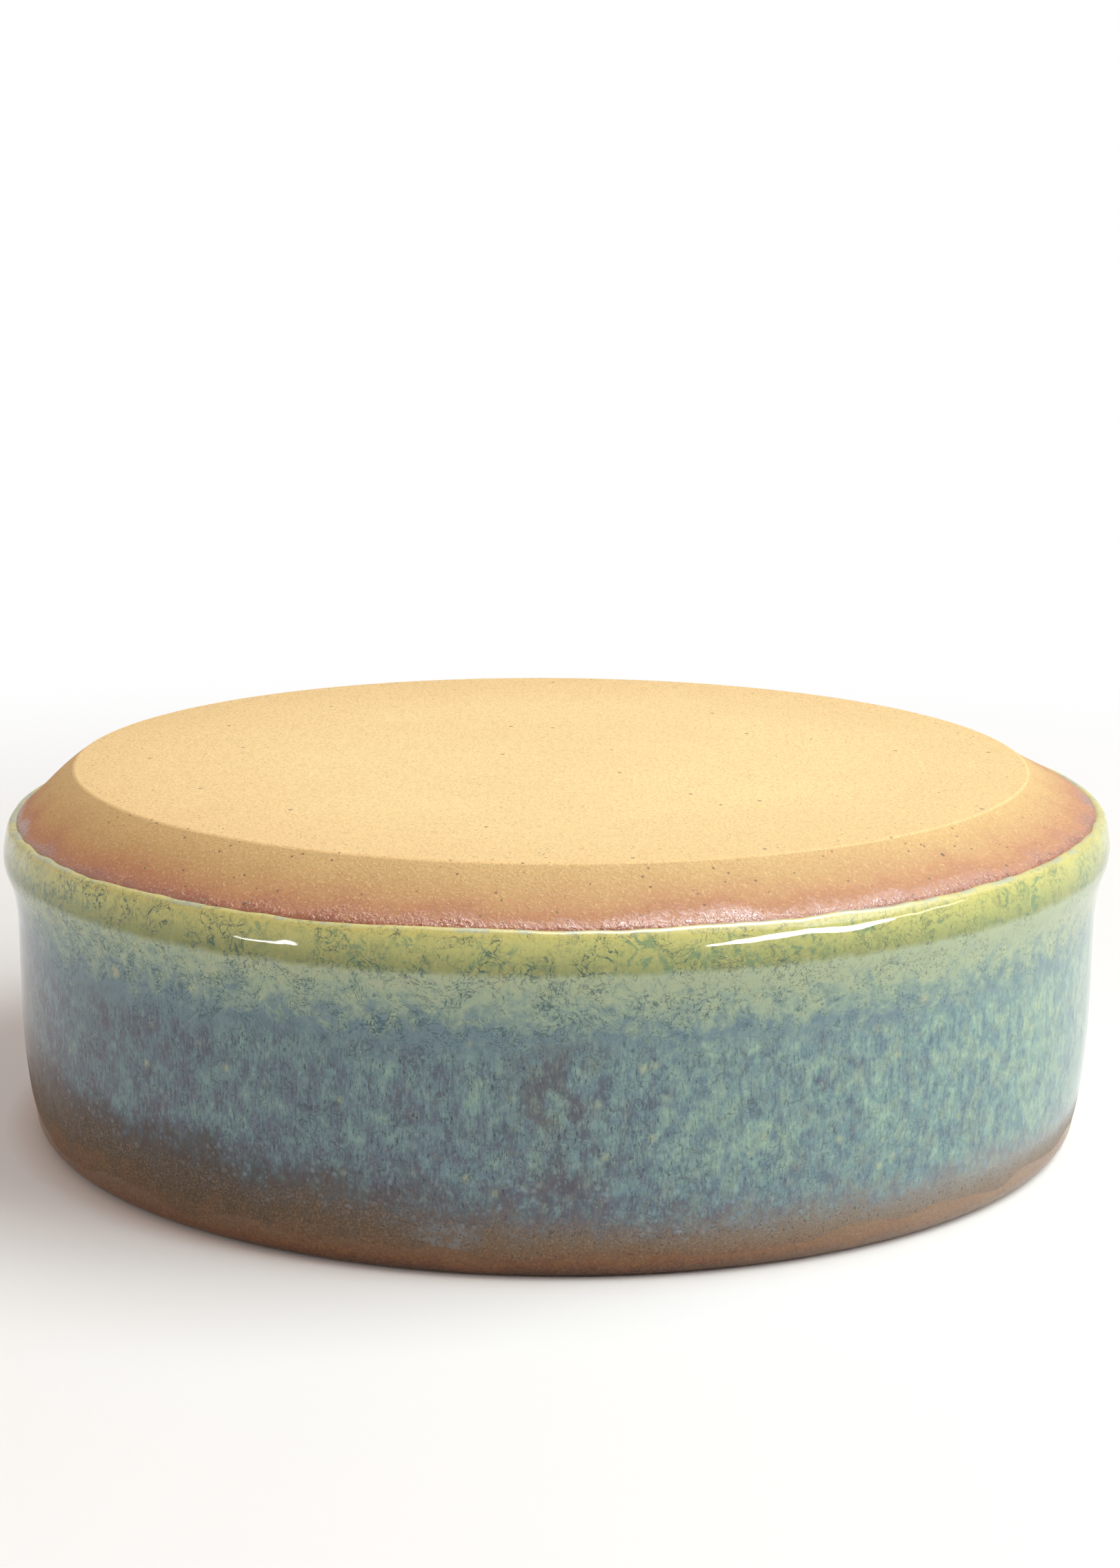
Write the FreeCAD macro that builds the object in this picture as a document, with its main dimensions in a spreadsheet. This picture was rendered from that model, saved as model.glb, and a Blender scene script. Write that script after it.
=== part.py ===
import FreeCAD, Part
from enum import IntEnum
import math
import os
import Sketcher

# A low, straight-sided stoneware bowl, thrown on a wheel and lying upside down on its lip.
# All sizes are millimetres. The lip stands on z = 0, the foot is on top, and the wheel's
# axis is +Z. The fired clay is one piece. The glaze is two coats fused to it: one outside,
# gathered in a thick roll below the trimmed foot, and a liner inside. The lip is wiped bare.

# Driving dimensions: name, size in millimetres (or degrees where the name says lean), meaning
SIZES = [
    ("shoulder_radius", 87.5, "radius of the corner between the wall and the trimmed bevel"),
    ("body_height", 59.0, "from the lip to the flat of the foot"),
    ("bevel_width", 10.2, "how far the trimmed bevel runs in from the shoulder"),
    ("bevel_height", 7.3, "how far the trimmed bevel rises to the foot"),
    ("foot_edge_round", 0.8, "round between the foot and the bevel"),
    ("lip_inset", 5.5, "how far the lip's lowest circle lies inside the shoulder"),
    ("lip_round_outside", 3.6, "round of the lip towards the outside"),
    ("lip_round_inside", 2.3, "round of the lip towards the inside"),
    ("wall_turn_radius", 120.0, "curve that brings the outside wall in to the lip"),
    ("wall_lean", 0.7, "degrees by which the outside wall opens towards the foot"),
    ("inner_wall_lean", 1.0, "degrees by which the inside wall opens towards the floor"),
    ("floor_thickness", 7.0, "clay between the inside floor and the foot"),
    ("inner_corner_radius", 14.0, "curve from the inside floor into the wall"),
    ("trim_ring_inner", 12.9, "radius of the first ring that the trimming tool left"),
    ("trim_ring_middle", 26.8, "radius of the second trimming ring"),
    ("trim_ring_outer", 61.0, "radius of the third trimming ring"),
    ("trim_ring_width", 2.4, "width of a trimming ring"),
    ("trim_ring_depth", 0.15, "depth of a trimming ring"),
    ("coat_thickness", 0.4, "outside coat on the straight wall"),
    ("coat_lip_thickness", 0.2, "outside coat where it was wiped off at the lip"),
    ("coat_lip_height", 3.6, "height of the wiped edge of the outside coat"),
    ("roll_proud", 2.5, "how far the glaze roll stands out past the shoulder"),
    ("roll_drop", 4.8, "how far the widest circle of the roll lies from the shoulder"),
    ("roll_crown_radius", 8.0, "section radius of the roll at its widest"),
    ("roll_edge_radius", 1.1, "section radius where the roll ends on the bevel"),
    ("neck_blend_radius", 24.0, "hollow curve from the straight coat into the roll"),
    ("glaze_line_setback", 0.3, "how far the roll climbs the bevel past the shoulder"),
    ("liner_wall_thickness", 0.45, "liner coat on the inside wall"),
    ("liner_floor_thickness", 0.8, "liner coat on the inside floor"),
    ("liner_corner_radius", 15.0, "curve of the liner, which pooled in the corner"),
    ("liner_lip_height", 3.6, "height of the wiped edge of the liner"),
    ("liner_backing", 1.5, "how far the liner's blank reaches into the clay floor"),
]

document = FreeCAD.newDocument("stoneware_bowl")
sheet = document.addObject("Spreadsheet::Sheet", "Sizes")
for row, (alias, value, meaning) in enumerate(SIZES, start=1):
    sheet.set(f"A{row}", meaning)
    sheet.set(f"B{row}", str(value))
    sheet.setAlias(f"B{row}", alias)
document.recompute()


def size(alias):
    """The sheet's value, for the first guess at a sketch that its constraints then hold."""
    return float(sheet.get(alias))


def vector(x, y):
    return FreeCAD.Vector(x, y, 0)


class SketchId(IntEnum):
    """Numbers by which a sketch knows the points of an edge, and its own two axes."""
    START = 1
    END = 2
    CENTRE = 3
    HORIZONTAL_AXIS = -1
    VERTICAL_AXIS = -2


START, END, CENTRE, HORIZONTAL_AXIS, VERTICAL_AXIS = SketchId
ORIGIN = START


def new_body(name):
    body = document.addObject("PartDesign::Body", name)
    body.Label = name
    body.Placement = FreeCAD.Placement()
    return body


def new_sketch(body, name):
    """A half section of the bowl: across is the radius, up is the height."""
    sketch = body.newObject("Sketcher::SketchObject", name)
    plane = next(f for f in body.Origin.OriginFeatures if f.Role == "XZ_Plane")
    sketch.AttachmentSupport = [(plane, "")]
    sketch.MapMode = "FlatFace"
    return sketch


def turned(body, kind, name, sketch):
    """Turns a half section once around the wheel's axis, as solid or as a cut."""
    feature = body.newObject(kind, name)
    feature.Profile = sketch
    feature.ReferenceAxis = (sketch, ["V_Axis"])
    feature.Angle = 360
    document.recompute()
    return feature


def add_line(sketch, first, last):
    return sketch.addGeometry(Part.LineSegment(first, last), False)


def add_arc(sketch, centre, radius, start_degrees, end_degrees):
    circle = Part.Circle(centre, FreeCAD.Vector(0, 0, 1), radius)
    arc = Part.ArcOfCircle(circle, math.radians(start_degrees), math.radians(end_degrees))
    return sketch.addGeometry(arc, False)


def add_mark(sketch, x, y, name, x_formula, y_formula):
    """A construction point at sheet sizes, which edges of the section pass through."""
    mark = sketch.addGeometry(Part.Point(vector(x, y)), True)
    place(sketch, mark, START, x, y, name, x_formula, y_formula)
    return mark


def hold(sketch, name, formula, *constraint):
    """Adds a constraint with a value and ties that value to the sheet."""
    index = sketch.addConstraint(Sketcher.Constraint(*constraint))
    sketch.renameConstraint(index, name)
    sketch.setExpression(f"Constraints.{name}", formula)


def place(sketch, edge, point, x, y, name, x_formula, y_formula):
    across = ("DistanceX", HORIZONTAL_AXIS, ORIGIN, edge, point, x)
    upwards = ("DistanceY", HORIZONTAL_AXIS, ORIGIN, edge, point, y)
    hold(sketch, name + "_across", x_formula, *across)
    hold(sketch, name + "_height", y_formula, *upwards)


def relate(sketch, *constraint):
    sketch.addConstraint(Sketcher.Constraint(*constraint))


def join(sketch, steps):
    """Joins the edges into one closed outline. A step is an edge, the end where the
    outline enters it, the end where it leaves it, and the joint with the next edge."""
    for step, following in zip(steps, steps[1:] + steps[:1]):
        edge, _, leaving, joint = step
        relate(sketch, joint, edge, leaving, following[0], following[1])


def degrees_to(origin, target):
    return math.degrees(math.atan2(target.y - origin.y, target.x - origin.x))


def tangent_centre(on_line, lean, inwards, centre, reach, side):
    """Centre of an arc that touches a leaning line and another round: the point that lies
    inwards of the line by one distance and reach away from the given centre."""
    along = vector(math.sin(lean), math.cos(lean))
    base = on_line + vector(-math.cos(lean), math.sin(lean)) * inwards
    gap = base - centre
    half = gap.dot(along)
    root = math.sqrt(half * half - gap.dot(gap) + reach * reach)
    return base + along * (side * root - half)


# Values that several sections share, each also written as a formula on the sheet
lean = math.radians(size("wall_lean"))
inner_lean = math.radians(size("inner_wall_lean"))
shoulder_radius = size("shoulder_radius")
body_height = size("body_height")
shoulder_height = body_height - size("bevel_height")
foot_radius = shoulder_radius - size("bevel_width")
lip_circle = shoulder_radius - size("lip_inset")
floor_level = body_height - size("floor_thickness")

SHOULDER_HEIGHT = "Sizes.body_height - Sizes.bevel_height"
FOOT_RADIUS = "Sizes.shoulder_radius - Sizes.bevel_width"
LIP_CIRCLE = "Sizes.shoulder_radius - Sizes.lip_inset"
FLOOR_LEVEL = "Sizes.body_height - Sizes.floor_thickness"


def draw_thrown_form(sketch):
    """The section as it came off the wheel: full round lip, leaning wall, thick floor."""
    round_out = size("lip_round_outside")
    round_in = size("lip_round_inside")
    turn = size("wall_turn_radius")
    corner = size("inner_corner_radius")
    shoulder = vector(shoulder_radius, shoulder_height)
    lip_out = vector(lip_circle, round_out)
    lip_in = vector(lip_circle, round_in)

    turn_centre = tangent_centre(shoulder, lean, turn, lip_out, turn - round_out, 1)
    lip_angle = degrees_to(turn_centre, lip_out)
    lean_angle = -math.degrees(lean)
    turn_end = turn_centre + vector(math.cos(lean), -math.sin(lean)) * turn
    top = vector(shoulder.x + size("bevel_height") * math.tan(lean), body_height)

    inner_normal = vector(math.cos(inner_lean), -math.sin(inner_lean))
    inner_start = lip_in - inner_normal * round_in
    corner_level = floor_level - corner
    rise = corner_level - inner_start.y + corner * math.sin(inner_lean)
    corner_x = inner_start.x + rise * math.tan(inner_lean) \
        - corner / math.cos(inner_lean) + corner * math.sin(inner_lean) * math.tan(inner_lean)
    corner_centre = vector(corner_x, corner_level)
    inner_end = corner_centre + inner_normal * corner

    lip_outer = add_arc(sketch, lip_out, round_out, -90, lip_angle)
    wall_turn = add_arc(sketch, turn_centre, turn, lip_angle, lean_angle)
    wall = add_line(sketch, turn_end, top)
    top_face = add_line(sketch, top, vector(0, body_height))
    axis = add_line(sketch, vector(0, body_height), vector(0, floor_level))
    floor = add_line(sketch, vector(0, floor_level), vector(corner_x, floor_level))
    corner_arc = add_arc(sketch, corner_centre, corner, -math.degrees(inner_lean), 90)
    inner_wall = add_line(sketch, inner_start, inner_end)
    lip_inner = add_arc(sketch, lip_in, round_in, 180 - math.degrees(inner_lean), 270)

    join(sketch, [
        (lip_outer, START, END, "Tangent"),
        (wall_turn, START, END, "Tangent"),
        (wall, START, END, "Coincident"),
        (top_face, START, END, "Coincident"),
        (axis, START, END, "Coincident"),
        (floor, START, END, "Tangent"),
        (corner_arc, END, START, "Tangent"),
        (inner_wall, END, START, "Tangent"),
        (lip_inner, START, END, "Coincident"),
    ])
    relate(sketch, "PointOnObject", lip_outer, START, HORIZONTAL_AXIS)
    relate(sketch, "Vertical", lip_outer, START, lip_outer, CENTRE)
    relate(sketch, "Vertical", lip_outer, START, lip_inner, CENTRE)
    relate(sketch, "Horizontal", top_face)
    relate(sketch, "PointOnObject", axis, START, VERTICAL_AXIS)
    relate(sketch, "PointOnObject", axis, END, VERTICAL_AXIS)
    relate(sketch, "Horizontal", floor)
    hold(sketch, "lip_circle", LIP_CIRCLE,
         "DistanceX", HORIZONTAL_AXIS, ORIGIN, lip_outer, START, lip_circle)
    hold(sketch, "round_out", "Sizes.lip_round_outside", "Radius", lip_outer, round_out)
    hold(sketch, "round_in", "Sizes.lip_round_inside", "Radius", lip_inner, round_in)
    hold(sketch, "turn", "Sizes.wall_turn_radius", "Radius", wall_turn, turn)
    hold(sketch, "corner", "Sizes.inner_corner_radius", "Radius", corner_arc, corner)
    hold(sketch, "wall_angle", "90 deg - Sizes.wall_lean * 1 deg",
         "Angle", wall, math.pi / 2 - lean)
    hold(sketch, "inner_angle", "90 deg - Sizes.inner_wall_lean * 1 deg",
         "Angle", inner_wall, math.pi / 2 - inner_lean)
    hold(sketch, "height", "Sizes.body_height",
         "DistanceY", HORIZONTAL_AXIS, ORIGIN, axis, START, body_height)
    hold(sketch, "floor_level", FLOOR_LEVEL,
         "DistanceY", HORIZONTAL_AXIS, ORIGIN, axis, END, floor_level)
    mark = add_mark(sketch, shoulder.x, shoulder.y, "shoulder",
                    "Sizes.shoulder_radius", SHOULDER_HEIGHT)
    relate(sketch, "PointOnObject", mark, START, wall)


def draw_bevel(sketch):
    """The triangle that the trimming tool takes off the corner above the shoulder."""
    run = size("bevel_width")
    fall = size("bevel_height")
    # The cut overruns the clay by a quarter of the bevel on every side.
    over = 0.25
    high = vector(foot_radius - run * over, body_height + fall * over)
    low = vector(shoulder_radius + run * over, shoulder_height - fall * over)
    corner = vector(low.x, high.y)

    bevel = add_line(sketch, high, low)
    outside = add_line(sketch, low, corner)
    above = add_line(sketch, corner, high)
    join(sketch, [
        (bevel, START, END, "Coincident"),
        (outside, START, END, "Coincident"),
        (above, START, END, "Coincident"),
    ])
    relate(sketch, "Vertical", outside)
    relate(sketch, "Horizontal", above)
    place(sketch, bevel, START, high.x, high.y, "high",
          f"{FOOT_RADIUS} - Sizes.bevel_width * {over}",
          f"Sizes.body_height + Sizes.bevel_height * {over}")
    place(sketch, bevel, END, low.x, low.y, "low",
          f"Sizes.shoulder_radius + Sizes.bevel_width * {over}",
          f"{SHOULDER_HEIGHT} - Sizes.bevel_height * {over}")


def draw_trim_rings(sketch):
    """Shallow round-bottomed rings that the trimming tool left in the flat of the foot."""
    half = size("trim_ring_width") / 2
    depth = size("trim_ring_depth")
    radius = (half * half + depth * depth) / (2 * depth)
    for ring in ("trim_ring_inner", "trim_ring_middle", "trim_ring_outer"):
        middle = size(ring)
        centre = vector(middle, body_height + radius - depth)
        left = vector(middle - half, body_height)
        right = vector(middle + half, body_height)
        groove = add_arc(sketch, centre, radius, degrees_to(centre, left), degrees_to(centre, right))
        lid = add_line(sketch, right, left)
        join(sketch, [
            (groove, START, END, "Coincident"),
            (lid, START, END, "Coincident"),
        ])
        place(sketch, groove, START, left.x, left.y, ring + "_left",
              f"Sizes.{ring} - Sizes.trim_ring_width / 2", "Sizes.body_height")
        place(sketch, groove, END, right.x, right.y, ring + "_right",
              f"Sizes.{ring} + Sizes.trim_ring_width / 2", "Sizes.body_height")
        hold(sketch, ring + "_bend",
             "(Sizes.trim_ring_width ^ 2 / 4 + Sizes.trim_ring_depth ^ 2)"
             " / (2 * Sizes.trim_ring_depth)",
             "Radius", groove, radius)


def draw_coat(sketch):
    """Outside coat and the wall behind it. Its skin follows the wall, hollows at the neck,
    swells into the roll and turns down to the bevel, where the wax stopped the glaze."""
    turn = size("wall_turn_radius")
    crown = size("roll_crown_radius")
    blend = size("neck_blend_radius")
    edge = size("roll_edge_radius")
    wiped_height = size("coat_lip_height")

    skin_at_shoulder = vector(shoulder_radius + size("coat_thickness"), shoulder_height)
    wiped = vector(lip_circle + size("lip_round_outside") + size("coat_lip_thickness"), wiped_height)
    turn_centre = tangent_centre(skin_at_shoulder, lean, turn, wiped, turn, 1)
    normal = vector(math.cos(lean), -math.sin(lean))
    crown_centre = vector(shoulder_radius + size("roll_proud") - crown,
                          shoulder_height - size("roll_drop"))
    neck_centre = tangent_centre(skin_at_shoulder, lean, -blend, crown_centre, crown + blend, -1)
    root = vector(shoulder_radius - size("glaze_line_setback"), shoulder_height)

    # The edge round touches the crown from inside and ends at the root.
    to_root = root - crown_centre
    span = to_root.Length
    inner_reach = crown - edge
    cosine = (inner_reach ** 2 + span ** 2 - edge ** 2) / (2 * inner_reach * span)
    edge_angle = degrees_to(crown_centre, root) - math.degrees(math.acos(cosine))
    edge_direction = vector(math.cos(math.radians(edge_angle)), math.sin(math.radians(edge_angle)))
    edge_centre = crown_centre + edge_direction * inner_reach
    root_angle = degrees_to(edge_centre, root)
    into_clay = vector(-math.sin(math.radians(root_angle)), math.cos(math.radians(root_angle)))
    backing = root + into_clay * ((lip_circle - root.x) / into_clay.x)
    neck_angle = degrees_to(crown_centre, neck_centre)

    wiped_edge = add_line(sketch, vector(lip_circle, wiped_height), wiped)
    skin_turn = add_arc(sketch, turn_centre, turn,
                        degrees_to(turn_centre, wiped), -math.degrees(lean))
    skin = add_line(sketch, turn_centre + normal * turn, neck_centre - normal * blend)
    neck = add_arc(sketch, neck_centre, blend, neck_angle + 180, 180 - math.degrees(lean))
    crown_arc = add_arc(sketch, crown_centre, crown, neck_angle, edge_angle)
    edge_arc = add_arc(sketch, edge_centre, edge, edge_angle, root_angle)
    root_face = add_line(sketch, root, backing)
    back = add_line(sketch, backing, vector(lip_circle, wiped_height))
    join(sketch, [
        (wiped_edge, START, END, "Coincident"),
        (skin_turn, START, END, "Tangent"),
        (skin, START, END, "Tangent"),
        (neck, END, START, "Tangent"),
        (crown_arc, START, END, "Tangent"),
        (edge_arc, START, END, "Tangent"),
        (root_face, START, END, "Coincident"),
        (back, START, END, "Coincident"),
    ])
    relate(sketch, "Horizontal", wiped_edge)
    relate(sketch, "Vertical", back)
    hold(sketch, "backing", LIP_CIRCLE,
         "DistanceX", HORIZONTAL_AXIS, ORIGIN, back, END, lip_circle)
    place(sketch, wiped_edge, END, wiped.x, wiped.y, "wiped",
          f"{LIP_CIRCLE} + Sizes.lip_round_outside + Sizes.coat_lip_thickness",
          "Sizes.coat_lip_height")
    hold(sketch, "turn", "Sizes.wall_turn_radius", "Radius", skin_turn, turn)
    hold(sketch, "skin_angle", "90 deg - Sizes.wall_lean * 1 deg",
         "Angle", skin, math.pi / 2 - lean)
    hold(sketch, "blend", "Sizes.neck_blend_radius", "Radius", neck, blend)
    hold(sketch, "crown", "Sizes.roll_crown_radius", "Radius", crown_arc, crown)
    hold(sketch, "edge", "Sizes.roll_edge_radius", "Radius", edge_arc, edge)
    place(sketch, crown_arc, CENTRE, crown_centre.x, crown_centre.y, "crown_centre",
          "Sizes.shoulder_radius + Sizes.roll_proud - Sizes.roll_crown_radius",
          f"{SHOULDER_HEIGHT} - Sizes.roll_drop")
    place(sketch, edge_arc, END, root.x, root.y, "root",
          "Sizes.shoulder_radius - Sizes.glaze_line_setback", SHOULDER_HEIGHT)
    mark = add_mark(sketch, skin_at_shoulder.x, skin_at_shoulder.y, "skin_level",
                    "Sizes.shoulder_radius + Sizes.coat_thickness", SHOULDER_HEIGHT)
    relate(sketch, "PointOnObject", mark, START, skin)


def draw_liner(sketch):
    """Liner coat and the clay behind it. Its skin runs across the floor, round the pooled
    corner and down the wall to the wiped edge."""
    wall_coat = size("liner_wall_thickness")
    corner = size("liner_corner_radius")
    wiped_height = size("liner_lip_height")
    skin_level = floor_level - size("liner_floor_thickness")
    top_level = floor_level + size("liner_backing")
    guide_radius = size("lip_round_inside") + wall_coat
    guide_centre = vector(lip_circle, size("lip_round_inside"))

    slope = math.tan(inner_lean)
    skin_zero = guide_centre.x - guide_radius / math.cos(inner_lean) - guide_centre.y * slope
    corner_level = skin_level - corner
    corner_x = skin_zero + corner_level * slope - corner / math.cos(inner_lean)
    corner_centre = vector(corner_x, corner_level)
    normal = vector(math.cos(inner_lean), -math.sin(inner_lean))
    wall_end = corner_centre + normal * corner
    wiped = vector(skin_zero + wiped_height * slope, wiped_height)

    floor = add_line(sketch, vector(0, skin_level), vector(corner_x, skin_level))
    corner_arc = add_arc(sketch, corner_centre, corner, -math.degrees(inner_lean), 90)
    wall = add_line(sketch, wiped, wall_end)
    wiped_edge = add_line(sketch, wiped, vector(lip_circle, wiped_height))
    back = add_line(sketch, vector(lip_circle, wiped_height), vector(lip_circle, top_level))
    top_face = add_line(sketch, vector(lip_circle, top_level), vector(0, top_level))
    axis = add_line(sketch, vector(0, top_level), vector(0, skin_level))
    join(sketch, [
        (floor, START, END, "Tangent"),
        (corner_arc, END, START, "Tangent"),
        (wall, END, START, "Coincident"),
        (wiped_edge, START, END, "Coincident"),
        (back, START, END, "Coincident"),
        (top_face, START, END, "Coincident"),
        (axis, START, END, "Coincident"),
    ])
    relate(sketch, "Horizontal", floor)
    relate(sketch, "Horizontal", wiped_edge)
    relate(sketch, "Vertical", back)
    relate(sketch, "Horizontal", top_face)
    relate(sketch, "PointOnObject", axis, START, VERTICAL_AXIS)
    relate(sketch, "PointOnObject", axis, END, VERTICAL_AXIS)
    hold(sketch, "corner", "Sizes.liner_corner_radius", "Radius", corner_arc, corner)
    hold(sketch, "wall_angle", "90 deg - Sizes.inner_wall_lean * 1 deg",
         "Angle", wall, math.pi / 2 - inner_lean)
    place(sketch, back, START, lip_circle, wiped_height, "wiped",
          LIP_CIRCLE, "Sizes.liner_lip_height")
    hold(sketch, "top_level", f"{FLOOR_LEVEL} + Sizes.liner_backing",
         "DistanceY", HORIZONTAL_AXIS, ORIGIN, back, END, top_level)
    hold(sketch, "skin_level", f"{FLOOR_LEVEL} - Sizes.liner_floor_thickness",
         "DistanceY", HORIZONTAL_AXIS, ORIGIN, axis, END, skin_level)
    # The skin touches a round that stands off the inside of the lip by the coat.
    circle = Part.Circle(guide_centre, FreeCAD.Vector(0, 0, 1), guide_radius)
    guide = sketch.addGeometry(circle, True)
    place(sketch, guide, CENTRE, guide_centre.x, guide_centre.y, "guide",
          LIP_CIRCLE, "Sizes.lip_round_inside")
    hold(sketch, "guide_radius", "Sizes.lip_round_inside + Sizes.liner_wall_thickness",
         "Radius", guide, guide_radius)
    relate(sketch, "Tangent", wall, guide)


def edge_at(shape, radius, height):
    """Name of the round edge of that radius at that height."""
    nearness = 0.01
    for number, edge in enumerate(shape.Edges, start=1):
        curve = edge.Curve
        if isinstance(curve, Part.Circle) and abs(curve.Radius - radius) < nearness \
                and abs(curve.Center.z - height) < nearness:
            return f"Edge{number}"
    raise RuntimeError(f"no round edge of radius {radius} at height {height}")


def make_clay_body():
    """Thrown form, then the trimming: bevel, softened foot edge and tool rings."""
    body = new_body("clay_body")
    thrown = new_sketch(body, "thrown_section")
    draw_thrown_form(thrown)
    form = turned(body, "PartDesign::Revolution", "thrown_form", thrown)

    bevel_section = new_sketch(body, "bevel_section")
    draw_bevel(bevel_section)
    bevel = turned(body, "PartDesign::Groove", "trimmed_bevel", bevel_section)
    check_cut(form, bevel)

    softened = body.newObject("PartDesign::Fillet", "softened_foot_edge")
    softened.Base = (bevel, [edge_at(bevel.Shape, foot_radius, body_height)])
    softened.setExpression("Radius", "Sizes.foot_edge_round")
    document.recompute()
    check_cut(bevel, softened)

    ring_section = new_sketch(body, "ring_section")
    draw_trim_rings(ring_section)
    rings = turned(body, "PartDesign::Groove", "trimming_rings", ring_section)
    check_cut(softened, rings)
    body.Tip = rings
    return body


def check_cut(before, after):
    if after.Shape.Volume >= before.Shape.Volume:
        raise RuntimeError(f"{after.Label} took nothing off")


def make_coat(name, draw, clay):
    """A glaze coat: what its blank holds outside the clay that it was fired onto."""
    blank = new_body(name + "_blank")
    section = new_sketch(blank, name + "_section")
    draw(section)
    turned(blank, "PartDesign::Revolution", name + "_form", section)
    coat = document.addObject("Part::Cut", name)
    coat.Label = name
    coat.Base = blank
    coat.Tool = clay
    coat.Placement = FreeCAD.Placement()
    document.recompute()
    return coat


clay_body = make_clay_body()
outer_glaze = make_coat("outer_glaze", draw_coat, clay_body)
inner_glaze = make_coat("inner_glaze", draw_liner, clay_body)
pieces = [clay_body, outer_glaze, inner_glaze]

document.recompute()
for item in document.Objects:
    if "Invalid" in item.State or "Error" in item.State:
        raise RuntimeError(f"{item.Label} failed: {item.State}")
for item in document.Objects:
    if item.TypeId == "Sketcher::SketchObject" and item.solve() != 0:
        raise RuntimeError(f"{item.Label} doesn't solve")
for piece in pieces:
    shape = piece.Shape
    if shape.isNull() or not shape.isValid() or len(shape.Solids) != 1:
        raise RuntimeError(f"{piece.Label} is not one valid solid")

os.makedirs("parts", exist_ok=True)
for piece in pieces:
    piece.Shape.exportStep(f"parts/{piece.Label}.step")
    box = piece.Shape.optimalBoundingBox(False)
    print(f"{piece.Label}: {piece.Shape.Volume / 1000:.2f} cm3, "
          f"radius {box.XMax:.2f}, height {box.ZMin:.2f} to {box.ZMax:.2f}")
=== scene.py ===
# %% [markdown]
# A low stoneware bowl, thrown on a wheel and glazed, lying upside down on its lip.
# The bowl is one piece of fired clay with two coats of glaze melted onto it. This lesson makes
# those three pieces, gives each its finish, and lights them on a plain pale floor. It begins
# with the frame: the same bowl at its real size, in metres, which the new pieces stay inside.

# %% Load the frame
import bpy
import math
from mathutils import Matrix, Vector, noise


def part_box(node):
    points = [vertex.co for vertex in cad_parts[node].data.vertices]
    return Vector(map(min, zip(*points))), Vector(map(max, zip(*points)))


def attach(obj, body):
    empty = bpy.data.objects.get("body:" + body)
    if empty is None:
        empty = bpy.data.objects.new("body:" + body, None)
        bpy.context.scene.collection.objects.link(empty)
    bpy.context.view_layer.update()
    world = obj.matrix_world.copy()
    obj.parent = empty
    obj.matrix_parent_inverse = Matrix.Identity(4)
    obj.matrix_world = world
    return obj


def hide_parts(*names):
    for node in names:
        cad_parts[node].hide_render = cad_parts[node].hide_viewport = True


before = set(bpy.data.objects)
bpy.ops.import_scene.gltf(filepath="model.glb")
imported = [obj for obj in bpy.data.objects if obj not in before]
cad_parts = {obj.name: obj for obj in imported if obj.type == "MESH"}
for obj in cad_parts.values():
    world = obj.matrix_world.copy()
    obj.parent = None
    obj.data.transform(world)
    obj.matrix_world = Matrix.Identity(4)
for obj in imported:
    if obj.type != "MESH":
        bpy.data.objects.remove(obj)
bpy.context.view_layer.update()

_, clay_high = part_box("clay_body")
coat_low, coat_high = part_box("outer_glaze")
_, liner_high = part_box("inner_glaze")
MM = 0.001

# %% [markdown]
# A potter throws a ring of clay, turns it over when it is leather hard and trims the foot.
# Everything is round about the wheel's axis, so each piece could be modelled by turning half a
# section. The section's main sizes come from the frame; the curves between them are arcs.

# %% Main sizes, in millimetres
HEIGHT = clay_high[2] / MM
SHOULDER = clay_high[0] / MM
CROWN = coat_high[0] / MM
FLOOR = liner_high[2] / MM
WIPED = coat_low[2] / MM
BEVEL_RUN, BEVEL_FALL = 10.2, 7.3
FOOT_RADIUS = SHOULDER - BEVEL_RUN
SHOULDER_Z = HEIGHT - BEVEL_FALL
LIP_RADIUS = SHOULDER - 5.5
LIP_ROUND_OUT, LIP_ROUND_IN = 3.6, 2.3
WALL_LEAN, INNER_LEAN = math.radians(0.7), math.radians(1.0)
print(f"foot radius {FOOT_RADIUS:.1f}, shoulder at {SHOULDER:.1f} by {SHOULDER_Z:.1f}")

# %% [markdown]
# Arcs keep the curves round at any number of points, so the outline has few numbers of its own.
# A point of a section is written as its distance from the axis and its height.


# %% Arcs and runs of a section
def polar(angle, reach=1.0):
    return Vector((math.cos(angle), math.sin(angle))) * reach


def arc(centre, radius, first, last, count):
    """Points along an arc from one angle to another, both included."""
    return [centre + polar(first + (last - first) * i / count, radius) for i in range(count + 1)]


def run(first, last, count):
    """Points along a straight run, both ends included."""
    return [first.lerp(last, i / count) for i in range(count + 1)]


def heading(origin, target):
    return math.atan2(target.y - origin.y, target.x - origin.x)


quarter = arc(Vector((0, 0)), 1, 0, math.pi / 2, 2)
print("three points of a quarter circle:", [tuple(round(v, 2) for v in point) for point in quarter])

# %% [markdown]
# Two arcs that touch smoothly share a point on the line through their centres, and an arc that
# rolls along a leaning wall has its centre one radius away from that wall. With both rules the
# wall, its turn towards the lip and the lip run into each other without a corner.

# %% Arcs that touch the leaning wall
WALL_TURN = 120.0


def rolling_centre(on_wall, lean, inwards, centre, reach, side):
    """Centre of an arc that touches a leaning wall and another round."""
    along = Vector((math.sin(lean), math.cos(lean)))
    base = on_wall + Vector((-math.cos(lean), math.sin(lean))) * inwards
    gap = base - centre
    half = gap.dot(along)
    root = math.sqrt(half * half - gap.length_squared + reach * reach)
    return base + along * (side * root - half)


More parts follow.
